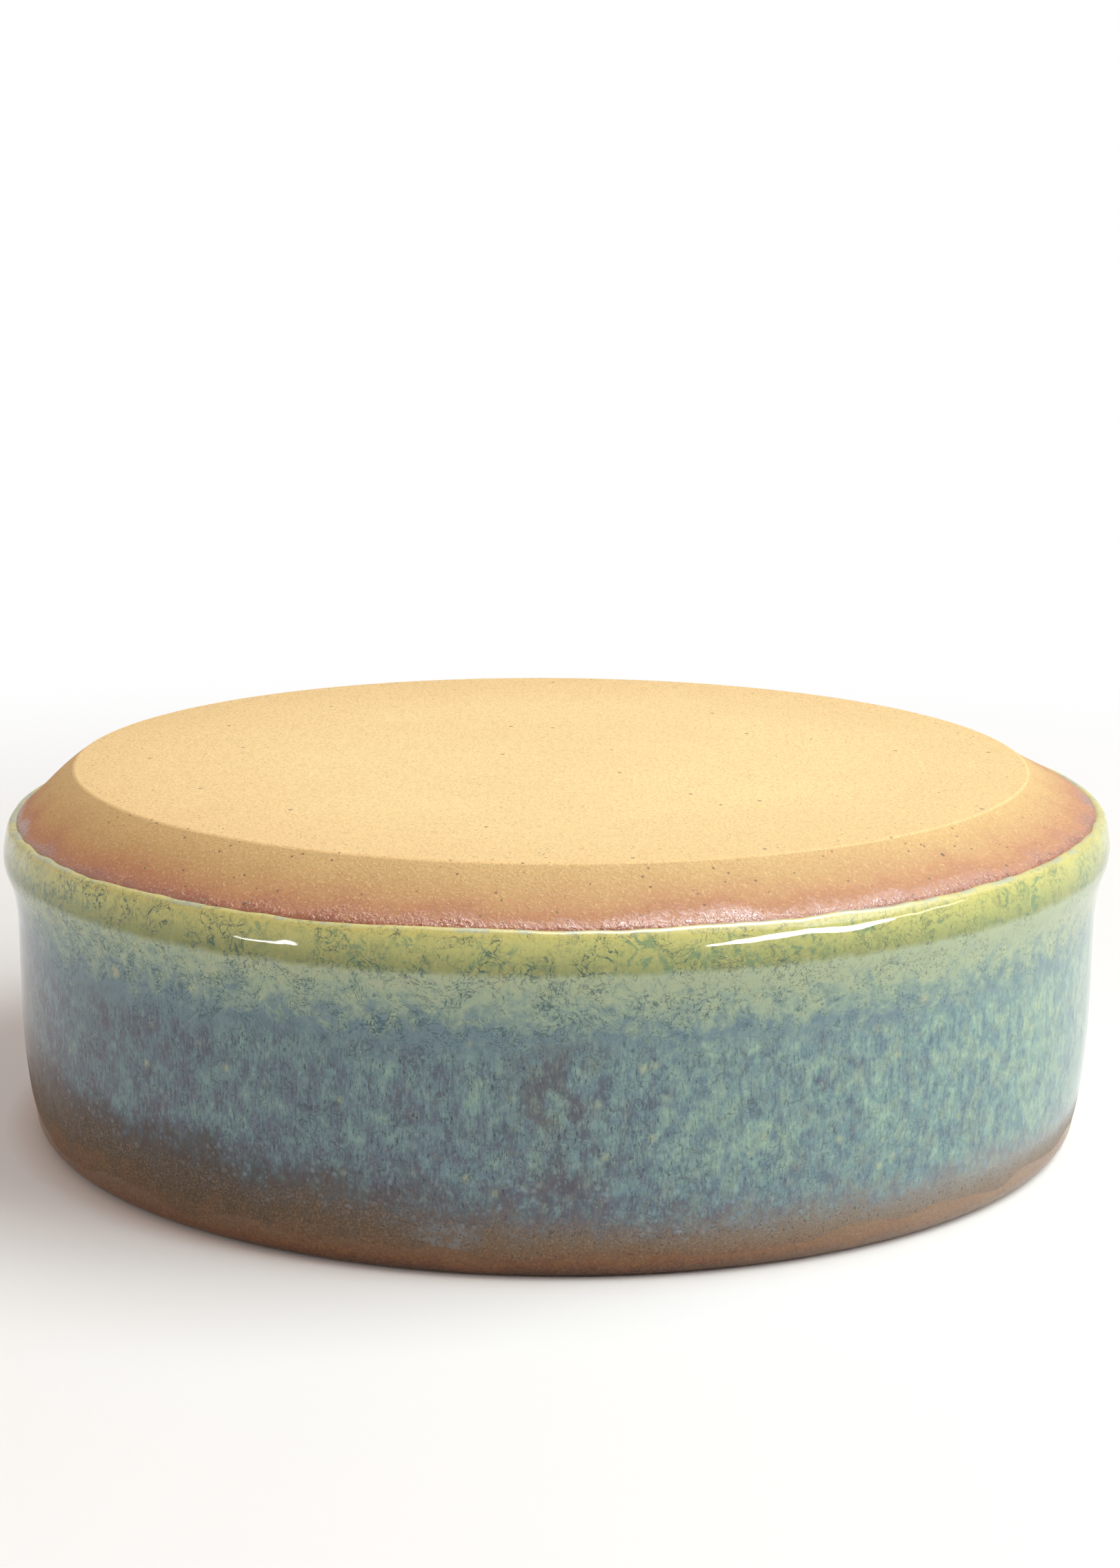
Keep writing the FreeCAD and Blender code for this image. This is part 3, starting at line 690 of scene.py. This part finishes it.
# %% Grounds of the outside glaze
def glaze_grounds(tree, place, x, level, height):
    mottle = patches(tree, place, 2.2, 0.20, 0.80, seed=13, tall=1.6, detail=8, rough=0.8)
    drift = patches(tree, place, 14, 0.25, 0.75, seed=14, detail=2)
    thinner = follow(tree, height, [(8, 1), (13, 1), (20, 0)])
    tone = weigh(tree, (mottle, 1.0), (drift, 0.18), (x, 0.0026), (thinner, -0.22), (1.0, -0.05))
    slate = follow(tree, tone, [(0, "5a5460"), (0.25, "5c6775"), (0.45, "617985"),
                                (0.62, "6d8b8e"), (0.80, "7f9d94"), (1.0, "94af9c")])
    granular = patches(tree, place, 0.55, 0.3, 0.7, seed=10, detail=5, rough=0.7)
    dissolved = weigh(tree, (height, 1.0), (granular, 6.0), (1.0, -3.0))
    # Its lowest stops are the lip's: the wiped coat's brown, darkened towards the floor with painted
    # contact shade.
    brown = follow(tree, height, LIP_TONES_AND_CONTACT_SHADE + [(10.5, "635a56"), (14, "5f6369")])
    soft = patches(tree, place, 2.6, 0.25, 0.75, seed=15, detail=6, rough=0.7, twist=0.6)
    pooled = weigh(tree, (soft, 0.9), (height, 0.115), (x, 0.003), (1.0, -4.56))
    celadon = follow(tree, pooled, [(0, "69828c"), (0.30, "7f978f"), (0.65, "95a993"),
                                    (1.0, "a7b493")])
    olive = follow(tree, level, [(46, "8e965e"), (48.0, "a5aa69"), (50.4, "c0bf72"), (51.9, "cfc470")])
    softened = weigh(tree, (level, 1.0), (soft, 0.7), (1.0, -0.35))
    return lay_over(tree, brown, [
        ([follow(tree, dissolved, [(7.5, 0), (14.0, 1)])], slate, 1.0),
        ([follow(tree, height, [(33, 0), (36.8, 1), (37.5, 1)])], celadon, 1.0),
        ([follow(tree, softened, [(45.5, 0), (46.5, 1)])], olive, 1.0)])


print("grounds from the lip up: brown, slate, celadon, olive")

# %% [markdown]
# Each zone has its own marks, but a few patterns come back in several, so they are made once:
# upright streaks, dark hairs that keep to clumps, crumbs and specks. Dark marks fade towards the
# right, where the glaze lies thicker over them.

# %% Patterns that the zones share
SHARED = ("leftish", "streaks", "hairs", "clumps", "crumbs", "specks")
STREAK_TALL = 5.0


def shared_patterns(tree, place, x):
    return (add(tree, "ShaderNodeMapRange", {"Value": x, "From Min": 60, "From Max": 0, "To Min": 0.4}),
            patches(tree, place, 0.36, 0.48, 0.64, seed=16, tall=STREAK_TALL, detail=3, rough=0.6),
            threads(tree, place, 3.0, 0.024, seed=23, detail=3),
            patches(tree, place, 4.5, 0.42, 0.56, seed=25, detail=3),
            patches(tree, place, 0.32, 0.45, 0.70, seed=19, detail=2, rough=0.6),
            patches(tree, place, 0.42, 0.62, 0.68, seed=26, detail=1))


print("shared patterns:", SHARED, "streaks are taller than wide by", STREAK_TALL)

# %% [markdown]
# On the wall the glaze ran upright, so its streaks and dashes are a few times taller than wide.
# Lime clouds grow towards the right, a violet-brown patch lies in the middle where iron came
# through, and pale and straw-coloured spots are crystals that grew while the kiln cooled.

# %% Marks on the wall
DASH_TALL = 3.2


def wall_marks(tree, place, x, height, shared):
    leftish, streaks, hairs, clumps = shared[:4]
    on_wall = follow(tree, height, [(9, 0), (13, 1), (33, 1), (37, 0)])
    near_middle = follow(tree, x, [(-9, 0), (-3, 1), (3, 1), (9, 0)])
    to_right = add(tree, "ShaderNodeMapRange", {"Value": x, "From Min": -30, "From Max": 70})
    lime = patches(tree, place, 2.4, 0.44, 0.72, seed=20, tall=1.2, detail=6, rough=0.7)
    iron = patches(tree, place, 3.0, 0.44, 0.60, seed=41, tall=1.5, detail=6, rough=0.7)
    blobs = dots(tree, place, 2.4, 0.95, 0.5, seed=43, soft=0.8)
    straw = dots(tree, place, 4.4, 0.9, 0.3, seed=45, soft=0.8)
    pale_streaks = patches(tree, place, 0.45, 0.52, 0.68, seed=17, tall=2.8, detail=3, rough=0.6)
    dashes = patches(tree, place, 0.36, 0.63, 0.69, seed=18, tall=DASH_TALL, detail=2)
    return [([on_wall, lime, to_right], "acb98e", 0.5),
            ([on_wall, iron, near_middle], "544a52", 0.7),
            ([on_wall, blobs], "9db7a6", 0.3),
            ([on_wall, straw], "b3b88c", 0.5),
            ([on_wall, streaks, leftish], "434f5b", 0.46),
            ([on_wall, pale_streaks], "93aca6", 0.32),
            ([on_wall, dashes, leftish], "2c3743", 0.75),
            ([on_wall, hairs, clumps, leftish], "36424a", 0.6)]


print("dashes are taller than wide by", DASH_TALL)

# %% [markdown]
# In the thick glaze below and on the roll the marks had time to curl: teal pools, moss and honey
# clouds on the roll, peach spots and dark hairs on the band below it, and a line of rust where
# the roll thins out to its edge.

# %% Marks on the band and the roll
PEACH_RADIUS = 1.2


def roll_marks(tree, place, level, height, to_left, shared):
    leftish, streaks, hairs, clumps, crumbs, specks = shared
    on_band = follow(tree, height, [(33, 0), (37, 1), (45, 1), (47, 0.5), (52, 0.5)])
    on_roll = follow(tree, level, [(45.5, 0), (46.5, 1), (51.0, 1), (51.8, 0.3)])
    # Painted shade: the lower side of the roll on the left, away from the key lamp, is darkened to a deep
    # olive.
    low_left_shade = product(tree, follow(tree, level, [(45.5, 1), (47.5, 0.8), (49.5, 0)]), to_left)
    rust_line = follow(tree, level, [(50.8, 0), (51.5, 1), (52, 1)])
    peach = dots(tree, place, 5.2, PEACH_RADIUS, 0.34, seed=22, soft=0.7)
    curls = threads(tree, place, 5.0, 0.014, seed=24, twist=2.2, detail=4)
    moss = patches(tree, place, 1.6, 0.45, 0.68, seed=39, detail=6, rough=0.7, twist=1.0)
    honey = patches(tree, place, 1.9, 0.48, 0.70, seed=40, detail=5, rough=0.7)
    teal = product(tree, patches(tree, place, 2.6, 0.50, 0.60, seed=27, twist=1.6, detail=5, rough=0.7),
                   patches(tree, place, 9, 0.40, 0.6, seed=28, detail=1))
    return [([on_band, streaks, leftish], "5d7480", 0.16),
            ([on_band, peach], "bdb083", 0.5),
            ([on_roll, honey], "c8bd7c", 0.35),
            ([on_roll, moss], "6f7f50", 0.42),
            ([on_roll, low_left_shade], "5f6a35", 0.35),
            ([on_roll, teal], "4a7d66", 0.6),
            ([on_roll, hairs, clumps, leftish], "2f5240", 0.75),
            ([on_band, hairs, clumps, leftish], "2f5259", 0.8),
            ([on_band, curls, leftish], "2f5259", 0.7),
            ([on_band, specks, clumps], "33424a", 0.6),
            ([on_roll, rust_line, crumbs], "c9a54f", 0.4)]


print("peach spots in mm across:", 2 * PEACH_RADIUS)

# %% [markdown]
# Towards the lip the coat thins out. It is brown on the left, a brown deepened there with painted
# shade, and beige on the right, sown with pale blue crystals higher up, and sandy where the clay's
# own grains stand through it. One large bloom of crystals lies low, a little left of the middle.

# %% Marks near the lip
BLOOM_MIDDLE, BLOOM_SIZE = (-15, -86, 6.4), (6.0, 8.0, 2.6)


def crystal_bloom(tree, place):
    nearby = add(tree, "ShaderNodeMapping", {
        "Vector": place, "Location": [-at / size for at, size in zip(BLOOM_MIDDLE, BLOOM_SIZE)],
        "Scale": [1 / size for size in BLOOM_SIZE]})
    away = add(tree, "ShaderNodeVectorMath", {0: nearby}, output="Value", operation="LENGTH")
    inside = add(tree, "ShaderNodeMapRange", {"Value": away, "From Min": 1.0, "From Max": 0.4})
    return product(tree, inside, patches(tree, place, 0.9, 0.40, 0.6, seed=44, detail=5, rough=0.75))


def lip_marks(tree, place, height, to_left, to_right, sandy, shared):
    crumbs, specks = shared[4:]
    brown_and_shade_zone = follow(tree, height, [(0, 0.05), (3.6, 0.2), (6.2, 1), (11, 1), (17, 0)])
    beige_zone = follow(tree, height, [(0, 0.9), (7, 0.9), (11, 1), (17, 0)])
    crystal_zone = follow(tree, height, [(5.5, 0), (8, 0.6), (11, 1), (16, 0.8), (24, 0.2), (33, 0)])
    sown = patches(tree, place, 4.5, 0.36, 0.60, seed=30, detail=6, rough=0.75)
    small_crystals = dots(tree, place, 0.75, 0.32, 0.6, seed=42, soft=0.8)
    crystals = dots(tree, place, 1.3, 0.55, 0.5, seed=29, soft=0.8)
    # Partly the thin coat's own brown, partly painted shade: the low coat is darkened on the left, away
    # from the key lamp.
    return [([brown_and_shade_zone, to_left], "35260f", 0.76),
            ([beige_zone, to_right], "98938a", 0.55),
            ([crystal_zone, small_crystals, sown], "8094a2", 0.55),
            ([crystal_zone, crystals, sown], "8ea3ae", 0.55),
            ([crystal_bloom(tree, place)], "75848f", 0.75),
            ([sandy, crumbs], "9c8166", 0.5),
            ([sandy, specks], "3a2a20", 0.7)]


print("middle of the bloom in mm:", BLOOM_MIDDLE)

# %% [markdown]
# All layers are laid over the grounds in turn, with a thin blue-grey hem last, where the glaze
# ends against the clay. Thick glaze is a wet-looking gloss with a slow ripple; the roll's edge,
# the thin coat and above all the wiped end are duller.


# %% Outside glaze
def running_glaze():
    material, tree, place, (x, _, z) = start_material("running_celadon_glaze")
    level, height = glaze_heights(tree, place, x, z)
    ground = glaze_grounds(tree, place, x, level, height)
    to_left, to_right = sides(tree, x)
    shared = shared_patterns(tree, place, x)
    crumbs = shared[SHARED.index("crumbs")]
    sandy = follow(tree, height, [(0, 0.5), (3, 1), (9, 1), (13, 0)])
    hem = product(tree, patches(tree, place, 5, 0.45, 0.6, seed=31, detail=4),
                  follow(tree, level, [(51.45, 0), (51.6, 1), (52, 1)]))
    colour = lay_over(tree, ground, wall_marks(tree, place, x, height, shared)
                      + roll_marks(tree, place, level, height, to_left, shared)
                      + lip_marks(tree, place, height, to_left, to_right, sandy, shared)
                      + [([hem], "93a6a6", 0.5)])
    ripple = patches(tree, place, 5, 0.2, 0.8, seed=32, detail=1)
    roughness = follow(tree, height, [(0, 0.75), (6, 0.6), (11, 0.25), (16, 0.09), (50.6, 0.05),
                                      (51.3, 0.35), (52, 0.45)])
    return fire(material, tree, colour, roughness,
                [(ripple, 0.025), (product(tree, sandy, crumbs), 0.05)])


coat.data.materials.append(running_glaze())

# %% [markdown]
# The liner is the same glaze, poured thin and even. It is brown near the lip and celadon on the
# floor of the bowl, where it pooled, with slate clouds, pale blobs and a few dark veins.


# %% Liner glaze
def liner_finish():
    material, tree, place, (_, _, z) = start_material("poured_liner_glaze")
    cloud = patches(tree, place, 10, 0.3, 0.7, seed=31, detail=4)
    drift = add(tree, "ShaderNodeMath", {0: cloud, 1: 6.0, 2: z}, operation="MULTIPLY_ADD")
    ground = follow(tree, drift, [(0, "8a4e2e"), (7, "7a5a3c"), (12, "5f5d5c"), (20, "5d7079"),
                                  (40, "6c8a86"), (50, "7f9a8c"), (58, "8ba38f")])
    inside = follow(tree, z, [(8, 0), (16, 1), (52, 1)])
    slate = patches(tree, place, 7, 0.5, 0.64, seed=33, detail=4)
    blobs = patches(tree, place, 3.6, 0.46, 0.62, seed=32, detail=5, rough=0.65)
    peach = dots(tree, place, 6.5, 1.1, 0.22, seed=36, soft=0.6)
    veins = threads(tree, place, 4.5, 0.014, seed=34)
    clumps = patches(tree, place, 7, 0.48, 0.62, seed=35)
    colour = lay_over(tree, ground, [
        ([inside, slate], "5c6c7d", 0.55),
        ([inside, blobs], "93ad9b", 0.6),
        ([inside, peach], "b9ae84", 0.45),
        ([inside, veins, clumps], "37606a", 0.6)])
    ripple = patches(tree, place, 5, 0.2, 0.8, seed=37, detail=1)
    roughness = follow(tree, z, [(0, 0.45), (6, 0.3), (12, 0.1), (52, 0.07)])
    return fire(material, tree, colour, roughness, [(ripple, 0.025)])


liner.data.materials.append(liner_finish())

# %% [markdown]
# Each new piece stands for the node of the same shape in the frame and takes that node's place.

# %% Stand in for the frame's nodes
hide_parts("clay_body")
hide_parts("outer_glaze")
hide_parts("inner_glaze")
for piece in (clay, coat, liner):
    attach(piece, "root")
print("pieces and finishes:", [(p.name, p.data.materials[0].name) for p in (clay, coat, liner)])

# %% [markdown]
# The floor is a wide sheet of pale paper. Near the bowl it is lit like any paper and keeps the
# shadow. Further off the lamps no longer reach, so there, to the camera and in reflections, it
# glows white by itself and runs into the white room without a horizon. None of it glows under
# the lip, so the dark line of contact stays.

# %% Floor
FLOOR_REACH = 6.0
UNDER_LIP, BESIDE_LIP = 0.083, 0.091
GLOW_NEAR, GLOW_FAR, LEAST_GLOW = 0.12, 0.45, 0.2


def direct_rays(tree):
    """1 for rays from the camera, from reflections and through glass, 0 for scattered light."""
    seen = tree.nodes.new("ShaderNodeLightPath").outputs
    mirrored = add(tree, "ShaderNodeMath", {0: seen["Is Camera Ray"], 1: seen["Is Glossy Ray"]},
                   operation="MAXIMUM")
    return add(tree, "ShaderNodeMath", {0: mirrored, 1: seen["Is Transmission Ray"]}, operation="MAXIMUM")


def pale_paper():
    material = bpy.data.materials.new("pale_paper")
    material.use_nodes = True
    tree = material.node_tree
    tree.nodes.clear()
    paper = add(tree, "ShaderNodeBsdfDiffuse", {"Color": shade("f7f6f4")})
    glow = add(tree, "ShaderNodeEmission", {"Color": shade("ffffff"), "Strength": 1.0})
    far = add(tree, "ShaderNodeVectorMath", {0: tree.nodes.new("ShaderNodeTexCoord").outputs["Object"]},
              output="Value", operation="LENGTH")
    beyond = add(tree, "ShaderNodeMapRange", {"Value": far, "From Min": GLOW_NEAR, "From Max": GLOW_FAR,
                                              "To Min": LEAST_GLOW}, interpolation_type="SMOOTHSTEP")
    beside = add(tree, "ShaderNodeMapRange", {"Value": far, "From Min": UNDER_LIP, "From Max": BESIDE_LIP})
    share = product(tree, beyond, beside, direct_rays(tree))
    mixed = add(tree, "ShaderNodeMixShader", {0: share, 1: paper, 2: glow})
    add(tree, "ShaderNodeOutputMaterial", {"Surface": mixed})
    return material


bpy.ops.object.select_all(action="DESELECT")
bpy.ops.mesh.primitive_circle_add(vertices=96, radius=FLOOR_REACH, fill_type="NGON")
floor = bpy.context.object
floor.name = "pale_floor"
floor.data.materials.append(pale_paper())
print("floor across in m:", 2 * FLOOR_REACH)

# %% [markdown]
# Soft studio light: a wide lamp high on the right, which throws the shadow to the left, and two
# weak fills in front, kept out of reflections. Four cards show only in reflections: they draw the
# long streak on the roll with its warm tail, the short streak on the left, and the glint of the
# melted beads.


# %% Lamps
def softbox(name, azimuth, elevation, distance, width, height, watts, tint="ffffff", shape="RECTANGLE"):
    """A lamp that faces the bowl. Azimuth is in degrees from +X towards +Y, as seen from above."""
    aim = Vector((0, 0, HEIGHT * MM / 2))
    around, up = math.radians(azimuth), math.radians(elevation)
    way = Vector((math.cos(around) * math.cos(up), math.sin(around) * math.cos(up), math.sin(up)))
    lamp = bpy.data.lights.new(name, "AREA")
    lamp.shape = shape
    lamp.size, lamp.size_y = width, height
    lamp.energy = watts
    lamp.color = shade(tint)[:3]
    holder = bpy.data.objects.new(name, lamp)
    holder.location = aim + way * distance
    holder.rotation_euler = way.to_track_quat("Z", "Y").to_euler()
    bpy.context.collection.objects.link(holder)
    return holder


softbox("key_high_right", -8, 52, 1.1, 1.0, 0.7, 12, "eefcff")
for fill in (softbox("fill_front_right", -30, 24, 0.9, 0.75, 0.32, 3.0),
             softbox("fill_front_left", -160, 12, 0.9, 0.5, 0.25, 1.9)):
    fill.visible_glossy = False
for card in (softbox("streak_front_right", -41, 23, 0.86, 0.56, 0.13, 7, shape="ELLIPSE"),
             softbox("streak_tail_right", -12, 24, 0.86, 0.36, 0.04, 0.5, "fff0cc", shape="ELLIPSE"),
             softbox("glint_high_behind", 42, 72, 0.9, 0.40, 0.25, 20),
             softbox("streak_front_left", -146, 5, 0.9, 0.22, 0.025, 0.4, shape="ELLIPSE")):
    card.visible_diffuse = False
print("lamps and their watts:", {lamp.name: round(lamp.energy, 2) for lamp in bpy.data.lights})

# %% [markdown]
# The room is white to the eye and in reflections, and gives a dim warm white to the shadows.

# %% Room
SCATTERED_LIGHT = 0.31

world = bpy.data.worlds.new("plain_white_room")
bpy.context.scene.world = world
world.use_nodes = True
room = world.node_tree
room.nodes.clear()
scattered = add(room, "ShaderNodeBackground", {"Color": shade("ffd5be"), "Strength": SCATTERED_LIGHT})
seen_white = add(room, "ShaderNodeBackground", {"Color": shade("ffffff"), "Strength": 1.0})
whole = add(room, "ShaderNodeMixShader", {0: direct_rays(room), 1: scattered, 2: seen_white})
add(room, "ShaderNodeOutputWorld", {"Surface": whole})
print("strength of the scattered light:", SCATTERED_LIGHT)

# %% [markdown]
# The camera stands where the photograph was taken: 0.54 m away, looking down by 11.6 degrees,
# with a long lens. It looks past the bowl's middle, because the picture has much air above it.

# %% Camera
LENS, SENSOR = 73.3, 36
DOWN, ROLL = math.radians(11.553), math.radians(0.332)
CAMERA_AT = Vector((0.53, -513.47, 159.45)) * MM

camera = bpy.data.objects.new("camera", bpy.data.cameras.new("camera"))
camera.data.lens = LENS
camera.data.sensor_width = SENSOR
camera.location = CAMERA_AT
camera.rotation_euler = (Matrix.Rotation(math.pi / 2 - DOWN, 3, "X")
                         @ Matrix.Rotation(ROLL, 3, "Z")).to_euler()
bpy.context.collection.objects.link(camera)
bpy.context.scene.camera = camera
bpy.context.scene.view_settings.view_transform = "Standard"
print("camera in m:", [round(v, 3) for v in CAMERA_AT], "lens in mm:", LENS)
